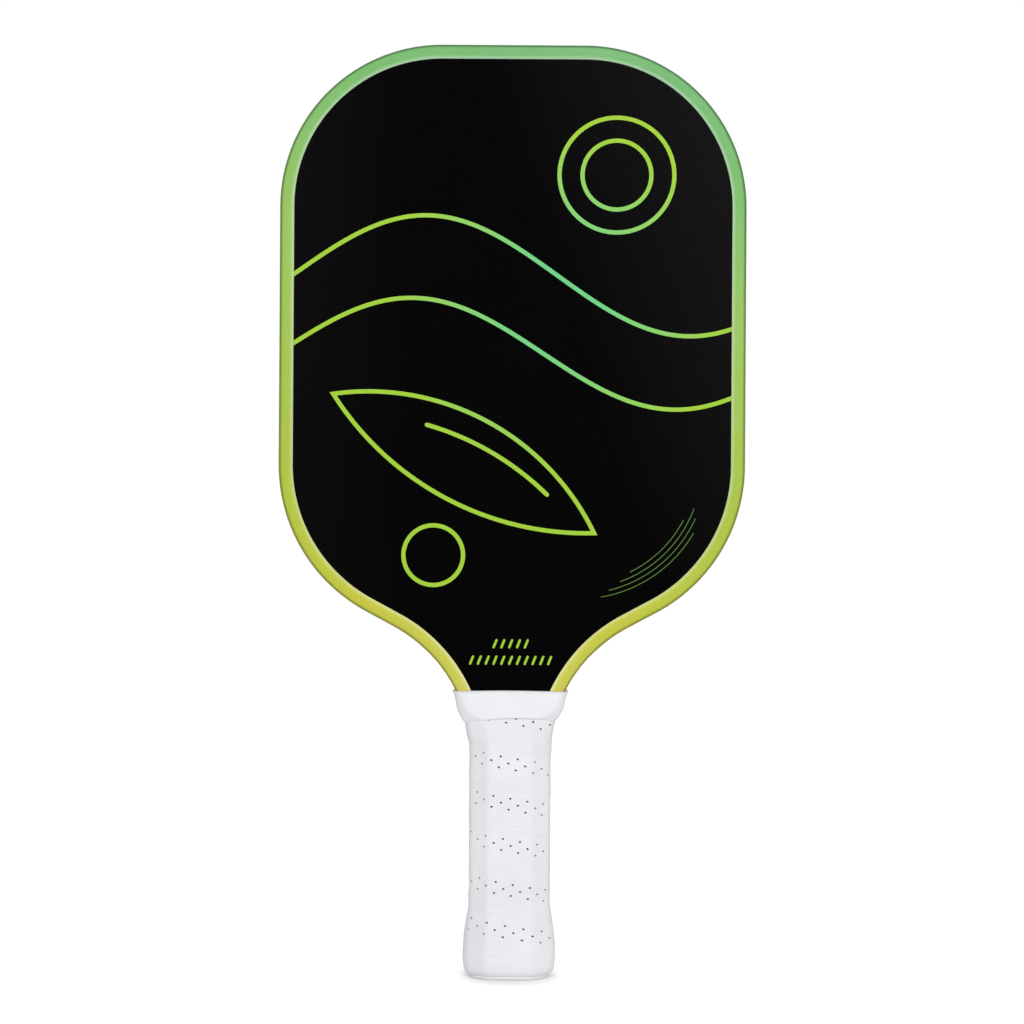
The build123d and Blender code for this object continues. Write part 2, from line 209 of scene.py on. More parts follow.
# ---- shader helpers ----
class Finish(Nodes):
    """One procedural material: its tree, its shader, and short ways to add nodes."""

    def __init__(self, name, roughness, specular=0.5, **uniform):
        self.material = bpy.data.materials.new(name)
        self.material.use_nodes = True
        super().__init__(self.material.node_tree)
        self.shader = self.tree.nodes["Principled BSDF"]
        uniform |= {"Roughness": roughness, "Specular_IOR_Level": specular}
        for socket, value in uniform.items():
            self.shader.inputs[socket.replace("_", " ")].default_value = value
        self.place = self.add("ShaderNodeTexCoord").outputs["Object"]

    def noise(self, scale, detail=3, roughness=0.5, stretch=None):
        """Noise with cells of about 1/scale metres, drawn out along an axis with a small stretch."""
        place = self.place
        if stretch:
            place = self.add("ShaderNodeMapping", {"Vector": place, "Scale": stretch}).outputs[0]
        inputs = {"Vector": place, "Scale": scale, "Detail": detail, "Roughness": roughness}
        return self.add("ShaderNodeTexNoise", inputs).outputs["Fac"]

    def cells(self, scale):
        """Distance from the middle of each cell, with cells of about 1/scale metres."""
        inputs = {"Vector": self.place, "Scale": scale}
        return self.add("ShaderNodeTexVoronoi", inputs).outputs["Distance"]

    def axes(self, vector=None):
        """The X, Y and Z of a vector, or of the object coordinates."""
        return self.add("ShaderNodeSeparateXYZ", {0: vector or self.place}).outputs

    def math(self, operation, first, second=0.0, clamp=False):
        """One sum on two values."""
        node = self.add("ShaderNodeMath", {0: first, 1: second}, operation=operation, use_clamp=clamp)
        return node.outputs[0]

    def spread(self, value, low, high, to_low=0.0, to_high=1.0):
        """Maps a value's range low..high to to_low..to_high, clamped."""
        inputs = {0: value, 1: low, 2: high, 3: to_low, 4: to_high}
        return self.add("ShaderNodeMapRange", inputs).outputs[0]

    def mix(self, share, first, second):
        """A colour between two colours."""
        inputs = {0: share}
        for key, colour in ((6, first), (7, second)):
            inputs[key] = colour if isinstance(colour, bpy.types.NodeSocket) else (*colour, 1)
        return self.add("ShaderNodeMix", inputs, data_type="RGBA").outputs[2]

    def between(self, value, first, second, low=0.3, high=0.7):
        """A colour that goes from first to second as the value goes from low to high."""
        return self.mix(self.spread(value, low, high), first, second)

    def scaled(self, colour, factor):
        """The colour made lighter or darker by a value in the tree."""
        inputs = {0: colour, "Scale": factor}
        return self.add("ShaderNodeVectorMath", inputs, operation="SCALE").outputs[0]

    def ramp(self, value, stops):
        """A colour ramp through (position, colour) stops."""
        node = self.add("ShaderNodeValToRGB", {0: value})
        elements = node.color_ramp.elements
        while len(elements) < len(stops):
            elements.new(0.5)
        for element, (position, colour) in zip(elements, stops):
            element.position = position
            element.color = (*colour, 1)
        return node.outputs[0]

    def colour(self, value):
        self.link(value, self.shader.inputs["Base Color"])

    def roughness(self, value, smooth, rough, low=0.3, high=0.7):
        """Roughness that goes from smooth to rough as the value goes from low to high."""
        self.link(self.spread(value, low, high, smooth, rough), self.shader.inputs["Roughness"])

    def mottle(self, pattern, first, second, smooth, rough, depth, low=0.3, high=0.7):
        """The whole surface from one pattern: its two colours, its roughness and its relief."""
        self.colour(self.between(pattern, first, second, low, high))
        self.roughness(pattern, smooth, rough)
        return self.bumped((pattern, depth))

    def bumped(self, *layers):
        """The material with bumps on top of each other, each a height and its depth in metres."""
        normal = None
        for height, depth in layers:
            inputs = {"Height": height, "Distance": depth, "Strength": 1.0}
            if normal:
                inputs["Normal"] = normal
            normal = self.add("ShaderNodeBump", inputs).outputs[0]
        self.link(normal, self.shader.inputs["Normal"])
        return self.material


def shade(colour, factor):
    """The colour made lighter or darker."""
    return tuple(min(1.0, channel * factor) for channel in colour)


def srgb(red, green, blue):
    """A display colour, 0 to 255, as the linear one that a shader takes."""
    shares = [channel / 255 for channel in (red, green, blue)]
    return tuple(((c + 0.055) / 1.055) ** 2.4 if c > 0.04045 else c / 12.92 for c in shares)


# ---- finishes ----
def raw_carbon():
    """The hitting face: near-black cured carbon with a fine gritty peel texture, and a painted sheen in its
    colour, lighter towards the right and upper right and on the upper left.
    """
    finish = Finish("raw_carbon", 0.5, 0.008)
    grain = finish.noise(1500, 3, 0.7)
    threads = finish.noise(900, 2, 0.5, (1, 1, 0.12))
    patches = finish.noise(24)
    x, _, z = finish.axes()
    # Painted sheen: the base colour is made lighter towards the right and upper right, and on the upper
    # left, with random patches on top; the grain's specks grow lighter with it.
    slope = finish.math("ADD", x, finish.math("MULTIPLY", z, 0.35))
    left, high = finish.spread(x, -0.045, -0.1, 0.0, 0.48), finish.spread(z, 0.1, 0.36, 0.3, 1.0)
    upper_left_sheen = finish.math("MULTIPLY", left, high)
    uneven = finish.math("ADD", upper_left_sheen, finish.spread(patches, 0.3, 0.7, -0.06, 0.06))
    painted_sheen_and_patches = finish.math("ADD", finish.spread(slope, 0.125, 0.22), uneven, clamp=True)
    glints = finish.spread(grain, 0.42, 0.75)
    level = finish.math("MULTIPLY", glints, finish.spread(painted_sheen_and_patches, 0, 1, 0.12, 0.5))
    level = finish.math("ADD", level, finish.spread(painted_sheen_and_patches, 0, 1, 0.01, 0.2))
    finish.colour(finish.mix(level, (0.0001, 0.0001, 0.0002), (0.022, 0.022, 0.024)))
    finish.roughness(patches, 0.46, 0.56)
    return finish.bumped((threads, 0.00006), (grain, 0.0001))


def carbon_ply():
    """Inner plies: satin carbon in a twill of 2 mm tows."""
    finish = Finish("carbon_ply", 0.4, 0.4)
    x, _, z = finish.axes()
    tows = 500.0  # to the metre
    across, along = finish.math("MULTIPLY", x, tows), finish.math("MULTIPLY", z, tows)
    diagonal = finish.math("ADD", finish.math("FLOOR", across), finish.math("FLOOR", along))
    over = finish.math("LESS_THAN", finish.math("FRACT", finish.math("MULTIPLY", diagonal, 0.25)), 0.45)
    crown = finish.math("ABSOLUTE", finish.math("SUBTRACT", finish.math("FRACT", along), 0.5))
    fibre = finish.noise(2500, 2, 0.5, (1, 1, 0.1))
    lit = finish.mix(over, (0.018, 0.018, 0.02), (0.045, 0.045, 0.05))
    finish.colour(finish.between(fibre, lit, (0.07, 0.07, 0.075), 0.35, 0.65))
    finish.roughness(over, 0.32, 0.45, 0, 1)
    return finish.bumped((crown, 0.00008), (fibre, 0.00003))


def core_plastic():
    """Milky polypropylene with faint flow marks."""
    finish = Finish("core_plastic", 0.42, Subsurface_Weight=0.15)
    marks = finish.noise(300, 3, 0.5, (1, 0.15, 1))
    return finish.mottle(marks, (0.8, 0.83, 0.8), (0.9, 0.92, 0.9), 0.36, 0.5, 0.00005)


def bond_film():
    """A thin glossy adhesive film, pale amber, with pooled resin."""
    finish = Finish("bond_film", 0.2, Coat_Weight=0.3)
    pools = finish.noise(140, 3, 0.6)
    return finish.mottle(pools, (0.78, 0.74, 0.6), (0.88, 0.86, 0.76), 0.12, 0.3, 0.0001)


def closed_foam(name, light, dark, pore):
    """Rigid foam with small closed pores, painted darker in their middles as shade in their hollows."""
    finish = Finish(name, 0.85, 0.2)
    cells = finish.cells(pore)
    clouds = finish.noise(60)
    base = finish.between(clouds, shade(light, 0.92), light)
    # Painted shade: each pore's middle is darker.
    finish.colour(finish.between(cells, dark, base, 0.05, 0.3))
    finish.roughness(clouds, 0.8, 0.92)
    return finish.bumped((cells, 0.0003))


def guard_plastic():
    """The guard's gradient from lime at the throat to green at the head, satin and sanded."""
    finish = Finish("guard_plastic", 0.45, 0.2)
    x, _, z = finish.axes()
    lean = finish.math("MULTIPLY", finish.math("MULTIPLY", x, z), 0.7)
    share = finish.spread(finish.math("ADD", z, lean), guard_end * MM, paddle_length * MM)
    body = finish.ramp(share, [
        (0.0, srgb(205, 203, 88)), (0.13, srgb(195, 197, 60)), (0.21, srgb(182, 196, 59)),
        (0.31, srgb(173, 194, 62)), (0.43, srgb(165, 194, 71)), (0.55, srgb(155, 195, 79)),
        (0.67, srgb(149, 193, 92)), (0.8, srgb(127, 187, 99)), (0.9, srgb(115, 182, 101)),
        (1.0, srgb(112, 180, 108))])

    # By the place on the section: a paler inner edge, painted shade on the outer corner, a brighter lip.
    section = finish.add("ShaderNodeAttribute", attribute_name="section").outputs["Vector"]
    forward, outward, _ = finish.axes(section)
    inner_edge = finish.spread(outward, -0.0046, -0.0062)
    paleness = finish.spread(share, 0, 0.1, 0.36, 0.25)
    paleness = finish.math("ADD", paleness, finish.spread(share, 0.25, 0.55, 0, 0.06))
    tinted = finish.mix(finish.math("MULTIPLY", inner_edge, paleness), body, (1, 1, 1))
    # Painted shade: the rounded outer corner is darkened towards the lip's edge, a little more towards the
    # head.
    corner = finish.spread(outward, -0.0015, -0.0006)
    depth = finish.spread(finish.math("ABSOLUTE", forward), 0.0058, 0.0079, 0.14, 0.58)
    depth = finish.math("MULTIPLY", depth, finish.spread(share, 0, 1, 0.86, 1.0))
    darker = finish.math("MULTIPLY", corner, depth)
    near_throat = finish.spread(share, 0, 0.35, 0.14, 0)
    brighter = finish.math("MULTIPLY", finish.spread(outward, -0.0022, -0.006), near_throat)

    sand = finish.noise(1800, 2, 0.6)
    specks = finish.spread(sand, 0.3, 0.72, 0.89, 1.01)
    level = finish.math("MULTIPLY", specks, finish.math("SUBTRACT", 1.0, darker))
    level = finish.math("MULTIPLY", level, finish.math("ADD", 1.0, brighter))
    finish.colour(finish.scaled(tinted, level))
    finish.roughness(finish.noise(90), 0.36, 0.5)
    return finish.bumped((sand, 0.00006))


def print_ink(name, lime, green):
    """Ink over the gritty face, lime with a green glow in the middle of the upper waves."""
    finish = Finish(name, 0.55, 0.15)
    glow_middle = (0.02, 0, 0.295)
    away = finish.add("ShaderNodeVectorMath", {0: finish.place, 1: glow_middle}, operation="DISTANCE")
    ink = finish.mix(finish.spread(away.outputs["Value"], 0.075, 0.02), lime, green)
    grain = finish.noise(1400, 4, 0.7)
    finish.colour(finish.mix(finish.spread(grain, 0.62, 0.8, 0.0, 0.35), ink, shade(lime, 0.2)))
    finish.roughness(grain, 0.48, 0.62)
    return finish.bumped((grain, 0.00008))


def white_grip():
    """Soft white polyurethane with a fine leather grain, a little lighter towards the foot, and painted
    shade at its upper end, below and under the collar.
    """
    finish = Finish("white_grip", 0.6, 0.35, Sheen_Weight=0.05)
    grain = finish.cells(1500.0)
    clouds = finish.noise(35)
    creases = finish.noise(260, 3, 0.6, (0.35, 0.35, 1.6))
    base = finish.between(clouds, (0.8, 0.802, 0.838), (0.86, 0.862, 0.888))
    height = finish.axes()[2]
    # A little lighter towards the foot; painted shade in the band just below and under the collar.
    lower = finish.spread(height, 0.0, 0.06, 1.014, 1.0)
    upper = finish.spread(height, 0.094, 0.102, 1.0, 0.96)
    finish.colour(finish.scaled(base, finish.math("MULTIPLY", lower, upper)))
    finish.roughness(grain, 0.66, 0.55, 0.0, 0.6)
    return finish.bumped((creases, 0.00007), (grain, 0.00002))


def white_rubber():
    """The collar's smooth white rubber."""
    finish = Finish("white_rubber", 0.5, 0.35)
    clouds = finish.noise(45)
    skin = finish.noise(1300)
    finish.colour(finish.between(clouds, (0.788, 0.79, 0.82), (0.82, 0.822, 0.85)))
    finish.roughness(skin, 0.44, 0.56)
    return finish.bumped((clouds, 0.00025), (skin, 0.00003))


def white_cap():
    """The cap's moulded white plastic."""
    finish = Finish("white_cap", 0.45, 0.4)
    clouds = finish.noise(50)
    skin = finish.noise(700)
    finish.colour(finish.between(clouds, (0.82, 0.82, 0.85), (0.87, 0.87, 0.89)))
    finish.roughness(skin, 0.38, 0.52)
    return finish.bumped((skin, 0.00005))


def staple_steel():
    """Galvanised wire, drawn lengthwise."""
    finish = Finish("staple_steel", 0.35, Metallic=1.0)
    lines = finish.noise(1800, 2, 0.5, (0.1, 1, 1))
    return finish.mottle(lines, (0.5, 0.5, 0.52), (0.66, 0.66, 0.68), 0.28, 0.45, 0.00002)


def cushion_backing():
    """The grip's dark felted underlayer."""
    finish = Finish("cushion_backing", 0.9, 0.15)
    fibre = finish.noise(1600, 4, 0.7)
    return finish.mottle(fibre, (0.03, 0.03, 0.034), (0.085, 0.086, 0.095), 0.85, 0.97, 0.0002)


def clear_tape():
    """Glossy clear tape over the white grip, with small trapped bubbles."""
    finish = Finish("clear_tape", 0.18, Coat_Weight=0.4)
    bubbles = finish.noise(420, 2)
    return finish.mottle(bubbles, (0.82, 0.82, 0.84), (0.9, 0.9, 0.91), 0.12, 0.28, 0.00008, 0.55, 0.7)


def foam_tape():
    """The guard's white double-sided tape, with its scrim."""
    finish = Finish("foam_tape", 0.75, 0.25)
    scrim = finish.noise(600, 2, 0.5, (1, 0.3, 1))
    return finish.mottle(scrim, (0.74, 0.74, 0.71), (0.86, 0.86, 0.84), 0.68, 0.82, 0.00008, 0.35, 0.65)


# ---- outline ----
def arc_points(centre_x, centre_z, radius, first, last, step):
    """Points along an arc between two angles in radians, both ends included."""
    count = max(2, round(abs(last - first) * radius / step))
    turns = [first + (last - first) * k / count for k in range(count + 1)]
    return [(centre_x + radius * math.cos(t), centre_z + radius * math.sin(t)) for t in turns]


def outline_points(bottom, step):
    """The paddle's outline from the right side of the throat over the head to the left side."""
    rise = math.asin((bottom - throat_end_height) / throat_radius)
    first, last = math.pi - rise, math.pi - throat_angle
    throat_x = throat_end_half_width + throat_radius
    corner_x, corner_z = half_width - corner_radius, paddle_length - corner_radius
    right = arc_points(throat_x, throat_end_height, throat_radius, first, last, step)
    right += arc_points(shoulder_x, shoulder_height, shoulder_radius, -throat_angle, 0, step)
    right += arc_points(corner_x, corner_z, corner_radius, 0, math.pi / 2, step)
    return right + [(-x, z) for x, z in reversed(right)]


def outline_half_width(z, inset):
    """Half the throat's or handle's width, at height z below the shoulder, drawn in by inset."""
    if z <= throat_end_height:
        return throat_end_half_width - inset
    rise = z - throat_end_height
    return throat_end_half_width + throat_radius - math.sqrt((throat_radius + inset) ** 2 - rise**2)


# ---- mesh helpers ----
def line_curve(name, points, closed=False, widths=None):
    """A flat line on the X-Z or section plane, as a curve of straight steps, in metres."""
    curve = bpy.data.curves.new(name, "CURVE")
    curve.dimensions = "3D"
    spline = curve.splines.new("POLY")
    spline.points.add(len(points) - 1)
    for point, place, width in zip(spline.points, points, widths or [1.0] * len(points)):
        point.co = (*(MM * c for c in place), 1)
        point.radius = width
    spline.use_cyclic_u = closed
    return new_object(name, curve)


def tidy_mesh(mesh, weld, angle):
    """Merges doubles, turns faces outwards and smooths all but the sharp edges."""
    shape = bmesh.new()
    shape.from_mesh(mesh)
    bmesh.ops.remove_doubles(shape, verts=shape.verts, dist=weld)
    bmesh.ops.dissolve_degenerate(shape, edges=shape.edges, dist=weld)
    bmesh.ops.recalc_face_normals(shape, faces=shape.faces)
    shape.to_mesh(mesh)
    shape.free()
    mesh.shade_smooth()
    mesh.set_sharp_from_angle(angle=math.radians(angle))


def plain_piece(name, source, weld=1e-6, angle=40):
    """Turns an object with a node tree into a plain mesh piece and removes what made it."""
    depsgraph = bpy.context.evaluated_depsgraph_get()
    mesh = bpy.data.meshes.new_from_object(source.evaluated_get(depsgraph))
    bpy.data.objects.remove(source)
    mesh.name = name
    tidy_mesh(mesh, weld, angle)
    return new_object(name, mesh)


# ---- node trees ----
class Tree(Nodes):
    """A Geometry Nodes tree with named inputs."""

    def __init__(self, name, inputs):
        super().__init__(bpy.data.node_groups.new(name, "GeometryNodeTree"))
        interface = self.tree.interface
        interface.new_socket("Geometry", in_out="INPUT", socket_type="NodeSocketGeometry")
        for label, kind in inputs:
            interface.new_socket(label, in_out="INPUT", socket_type="NodeSocket" + kind)
        interface.new_socket("Geometry", in_out="OUTPUT", socket_type="NodeSocketGeometry")
        self.given = self.add("NodeGroupInput").outputs

    def finish(self, geometry, material):
        """Real geometry with its material, as the tree's result."""
        real = self.add("GeometryNodeRealizeInstances", {0: geometry}).outputs[0]
        painted = self.add("GeometryNodeSetMaterial", {"Geometry": real, "Material": material}).outputs[0]
        self.add("NodeGroupOutput", {0: painted})

    def put_on(self, thing, values):
        """Adds the tree to an object, each input set by its socket's identifier."""
        modifier = thing.modifiers.new(self.tree.name, "NODES")
        modifier.node_group = self.tree
        items = self.tree.interface.items_tree
        sockets = {item.name: item.identifier for item in items if item.in_out == "INPUT"}
        for label, value in values.items():
            modifier[sockets[label]] = value
        thing.update_tag()


def sweep_tree():
    """Sweeps a section along flat lines. Its X faces forward, its Y to the right of the line."""
    tree = Tree("sweep_section", [("Section", "Object"), ("Finish", "Material")])
    drawn = tree.add("GeometryNodeObjectInfo", {"Object": tree.given["Section"]}).outputs["Geometry"]
    place = tree.add("GeometryNodeInputPosition").outputs[0]
    keep = tree.add("GeometryNodeCaptureAttribute", {"Geometry": drawn}, domain="POINT")
    keep.capture_items.new("VECTOR", "Place")
    tree.link(place, keep.inputs["Place"])
    facing = tree.add("GeometryNodeSetCurveNormal", {
        "Curve": tree.given["Geometry"], "Normal": (0, -1, 0)}, mode="FREE")
    width = tree.add("GeometryNodeInputRadius").outputs[0]
    swept = tree.add("GeometryNodeCurveToMesh", {
        "Curve": facing.outputs[0], "Profile Curve": keep.outputs["Geometry"],
        "Scale": width, "Fill Caps": True})
    stored = tree.add("GeometryNodeStoreNamedAttribute", {
        "Geometry": swept.outputs[0], "Name": "section", "Value": keep.outputs["Place"]},
        data_type="FLOAT_VECTOR", domain="POINT")
    tree.finish(stored.outputs[0], tree.given["Finish"])
    return tree


def strip_tree():
    """Lays plain tiles and then perforated ones end to end as one flat strip."""
    tree = Tree("perforated_strip", [
        ("Plain Tile", "Object"), ("Holed Tile", "Object"), ("Tiles", "Int"), ("Plain Tiles", "Int"),
        ("Tile Length", "Float"), ("Finish", "Material")])
    step = tree.add("ShaderNodeCombineXYZ", {"X": tree.given["Tile Length"]}).outputs[0]
    row = tree.add("GeometryNodeMeshLine", {"Count": tree.given["Tiles"], "Offset": step}, mode="OFFSET")
    index = tree.add("GeometryNodeInputIndex").outputs[0]
    plain = tree.add("FunctionNodeCompare", {2: index, 3: tree.given["Plain Tiles"]},
                     data_type="INT", operation="LESS_THAN")
    holed = tree.add("FunctionNodeBooleanMath", {0: plain.outputs[0]}, operation="NOT")
    joined = tree.add("GeometryNodeJoinGeometry")
    for label, chosen in (("Holed Tile", holed), ("Plain Tile", plain)):
        tile = tree.add("GeometryNodeObjectInfo", {"Object": tree.given[label]}).outputs["Geometry"]
        laid = tree.add("GeometryNodeInstanceOnPoints", {
            "Points": row.outputs[0], "Selection": chosen.outputs[0], "Instance": tile})
        tree.link(laid.outputs[0], joined.inputs[0])
    tree.finish(joined.outputs[0], tree.given["Finish"])
    return tree


# ---- edge guard ----
def quarter_turn(count):
    """Angles from 0 to a right angle, in radians."""
    return [math.pi / 2 * k / count for k in range(count + 1)]


def guard_section():
    """Half-round outer corners, a slightly crowned lip and a rounded inner edge; (forward, outward)."""
    outer_round = 1.3
    inner_round = 0.35
    crown = 0.1
    seat = blade_half_thickness + 0.02
    deep = guard_half_thickness - crown
    flat_end = guard_lip_width - inner_round
    front = [(deep + outer_round * (math.sin(t) - 1), outer_round * (math.cos(t) - 1))
             for t in quarter_turn(6)]
    for k in range(1, 6):
        out = outer_round + (flat_end - outer_round) * k / 6
        front.append((deep + crown * math.sin(math.pi * k / 6), -out))
    front += [(deep + inner_round * (math.cos(t) - 1), -flat_end - inner_round * math.sin(t))
              for t in quarter_turn(4)]
    front += [(seat, -guard_lip_width), (seat, -guard_web)]
    return front + [(-forward, outward) for forward, outward in reversed(front)]


def make_edge_guard(sweep, finish):
    section = line_curve("guard_section", [(x, y, 0) for x, y in guard_section()], closed=True)
    path = line_curve("guard_path", [(x, 0, z) for x, z in outline_points(guard_end, 2.0)])
    sweep.put_on(path, {"Section": section, "Finish": finish})
    guard = plain_piece("edge_guard_channel", path)
    bpy.data.objects.remove(section)
    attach(guard, "root")
    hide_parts("edge_guard")


# ---- printed lines ----
def arc_between(start, end, bulge, near=()):
    """An arc whose middle stands off by bulge to the left of the straight way.

    near gives the distances of extra points from each end."""
    (x0, z0), (x1, z1) = start, end
    span = math.hypot(x1 - x0, z1 - z0)
    along = ((x1 - x0) / span, (z1 - z0) / span)
    turn = 2 * math.atan(2 * bulge / span)
    radius = span / (2 * math.sin(turn))
    margin = 1.0 if near else 0.0
    count = max(1, round((span - 2 * margin) / 2))
    way = [margin + (span - 2 * margin) * k / count for k in range(count + 1)]
    way = [*near, *way, *(span - step for step in reversed(near))]
    points = []
    for step in way:
        t = turn * (2 * step / span - 1)
        go, off = radius * math.sin(t), radius * (math.cos(t) - math.cos(turn))
        x = (x0 + x1) / 2 + along[0] * go - along[1] * off
        z = (z0 + z1) / 2 + along[1] * go + along[0] * off
        points.append((x, z))
    return points


def circle(centre_x, centre_z, radius):
    """A closed ring."""
    return arc_points(centre_x, centre_z, radius, 0, 2 * math.pi, min(1.2, radius / 4))[:-1]


def wave(middle, swing, crest, length, reach=97):
    """A long wave from one side of the face to the other."""
    columns = range(-reach, reach + 1)
    return [(x, middle + swing * math.cos(2 * math.pi * (x - crest) / length)) for x in columns]


def leaf(tip, stalk, over, under):
    """A closed outline of two arcs, with a width for each point that mitres its two ends."""
    upper, lower = arc_between(tip, stalk, over), arc_between(tip, stalk, -under)
    points = upper + lower[-2:0:-1]
    widths = [1.0] * len(points)
    for k in (0, len(upper) - 1):
        come = Vector(points[k]) - Vector(points[k - 1])
        go = Vector(points[k + 1]) - Vector(points[k])
        widths[k] = 1 / math.cos(come.angle(go) / 2)
    return points, True, widths


def rounded_stroke(start, end, bulge, width=1.0, radius=0.95):
    """An arc whose ends are half round."""
    points = arc_between(start, end, bulge, [radius * step for step in (0.0, 0.03, 0.12, 0.32, 0.6)])
    widths = []
    for point in points:
        near = min(1.0, math.dist(points[0], point) / radius, math.dist(points[-1], point) / radius)
        widths.append(width * max(0.05, math.sqrt(1 - (1 - near) ** 2)))
    return points, False, widths


def broad_lines():
    """The generic line design, as (points, closed, widths): waves, a leaf, rings and two rows of bars."""
    lines = [(wave(306, 26, -38, 230), False, None), (wave(272, 24, -44, 230), False, None)]
    lines += [leaf((-78, 254), (36, 194), 21, 17), rounded_stroke((-38, 241), (16, 210), 4)]
    for centre_x, centre_z, radius in ((45, 350, 25), (45, 350, 15), (-34, 184, 13)):
        lines.append((circle(centre_x, centre_z, radius), True, None))
    for count, foot, tall in ((11, 136.4, 4.0), (5, 143.6, 4.0)):
        for k in range(count):
            x, lean = 3.4 * (k - (count - 1) / 2), 0.2 * tall
            lines.append(rounded_stroke((x - lean, foot), (x + lean, foot + tall), 0.05, 0.55, 0.5))
    return lines


def fine_lines():
    """Thin stepped lines that follow the rim on the lower right."""
    lines = []
    for inset, first, last in ((14.5, -30, -80), (16.7, -24, -76), (18.9, -20, -70), (21.1, -27, -64)):
        line = arc_points(shoulder_x, shoulder_height, shoulder_radius - inset,
                          math.radians(first), math.radians(last), 1.5)
        lines.append((line, False, None))
    return lines


def make_print(name, facing, sweep, inks):
    """The printed lines on one face, as thin raised ink."""
    depth, sunk, bevel = 0.04, 0.01, 0.08
    strokes = []
    for lines, width, ink in ((broad_lines(), 1.9, inks[0]), (fine_lines(), 0.36, inks[1])):
        side = width / 2
        corners = [(-sunk, -side), (depth, bevel - side), (depth, side - bevel), (-sunk, side)]
        section = line_curve("ink_section", [(x, y, 0) for x, y in corners], closed=True)
        for points, closed, widths in lines:
            path = line_curve("ink_path", [(x, -blade_half_thickness, z) for x, z in points], closed, widths)
            sweep.put_on(path, {"Section": section, "Finish": ink})
            strokes.append(plain_piece("ink_stroke", path, angle=30))
        bpy.data.objects.remove(section)
    shape = bmesh.new()
    for stroke in strokes:
        first = len(shape.faces)
        shape.from_mesh(stroke.data)
        shape.faces.ensure_lookup_table()
        for face in shape.faces[first:]:
            face.material_index = inks.index(stroke.data.materials[0])
        bpy.data.objects.remove(stroke)
    if facing == "back":
        bmesh.ops.rotate(shape, verts=shape.verts, matrix=Matrix.Rotation(math.pi, 3, "Z"))
    mesh = bpy.data.meshes.new(name)
    shape.to_mesh(mesh)
    shape.free()
    for ink in inks:
        mesh.materials.append(ink)
    print_object = new_object(name, mesh)
    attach(print_object, "root")


# ---- handle surface ----
def cap_wall(z):
    """Wall of the butt cap outside the bare handle."""
    if z <= cap_bulge_height:
        curl_drop = max(0, cap_foot_radius - z)
        curl = cap_foot_radius - math.sqrt(cap_foot_radius**2 - curl_drop**2)
        return cap_bulge_wall - cap_tuck * ((cap_bulge_height - z) / cap_bulge_height) ** 2 - curl
    share = min(1, (z - cap_bulge_height) / (cap_height - cap_bulge_height))
    return cap_edge_wall + (cap_bulge_wall - cap_edge_wall) * (1 - share**flare_power)


def flare(z):
    """How far the surface under the grip stands out from the bare handle."""
    if z <= cap_height:
        return cap_wall(z)
    return cap_edge_wall * max(0, 1 - (z - cap_height) / flare_run_out)


def pallet_half_depth(z):
    """Half the bare handle's depth, which tapers towards the blade."""
    share = min(1, max(0, (z - pallet_taper_start) / (grip_top - pallet_taper_start)))
    return handle_half_depth - share * pallet_taper


def unit(vector):
    """The vector at a length of 1."""
    return vector / np.linalg.norm(vector)


def rounded_ring(side_x, flat_y, bevel_x, bevel_y, rounding, count):
    """Evenly spaced (x, y) round a flat-sided section, clockwise from the middle of the back."""
    quarter = [(bevel_x, flat_y), (side_x, bevel_y)]
    corners = quarter + [(x, -y) for x, y in reversed(quarter)]
    corners += [(-x, -y) for x, y in quarter] + [(-x, y) for x, y in reversed(quarter)]
    corners = np.array(corners)
    path = [np.array((0.0, flat_y))]
    for k, corner in enumerate(corners):
        come, go = unit(corners[k - 1] - corner), unit(corners[(k + 1) % 8] - corner)
        half = math.acos(float(come @ go)) / 2
        centre = corner + unit(come + go) * rounding / math.sin(half)
        first = corner + come * rounding / math.tan(half) - centre
        last = corner + go * rounding / math.tan(half) - centre
        for t in np.linspace(0, 1, 7):
            path.append(centre + unit(first * (1 - t) + last * t) * rounding)
    path.append(path[0])
    path = np.array(path)
    lengths = np.concatenate([[0], np.cumsum(np.linalg.norm(np.diff(path, axis=0), axis=1))])
    even = np.arange(count) / count * lengths[-1]
    return np.stack([np.interp(even, lengths, path[:, axis]) for axis in (0, 1)], 1)


def handle_corners(z, offset):
    """Sides, flats and bevels of the bare handle's section, grown by offset, as in the part's source."""
    side_x = outline_half_width(z, blade_inset)
    flat_y = pallet_half_depth(z)
    fall = flat_y - blade_half_thickness
    length = math.hypot(fall, pallet_bevel)
    normal_x, normal_y = fall / length, pallet_bevel / length
    reach = normal_x * side_x + normal_y * blade_half_thickness + offset
    bevel_x = (reach - normal_y * (flat_y + offset)) / normal_x
    bevel_y = (reach - normal_x * (side_x + offset)) / normal_y
    return side_x + offset, flat_y + offset, bevel_x, bevel_y


def handle_ring(z, offset, rounding, count):
    """The handle's section at height z, grown by offset."""
    return rounded_ring(*handle_corners(z, offset), rounding, count)


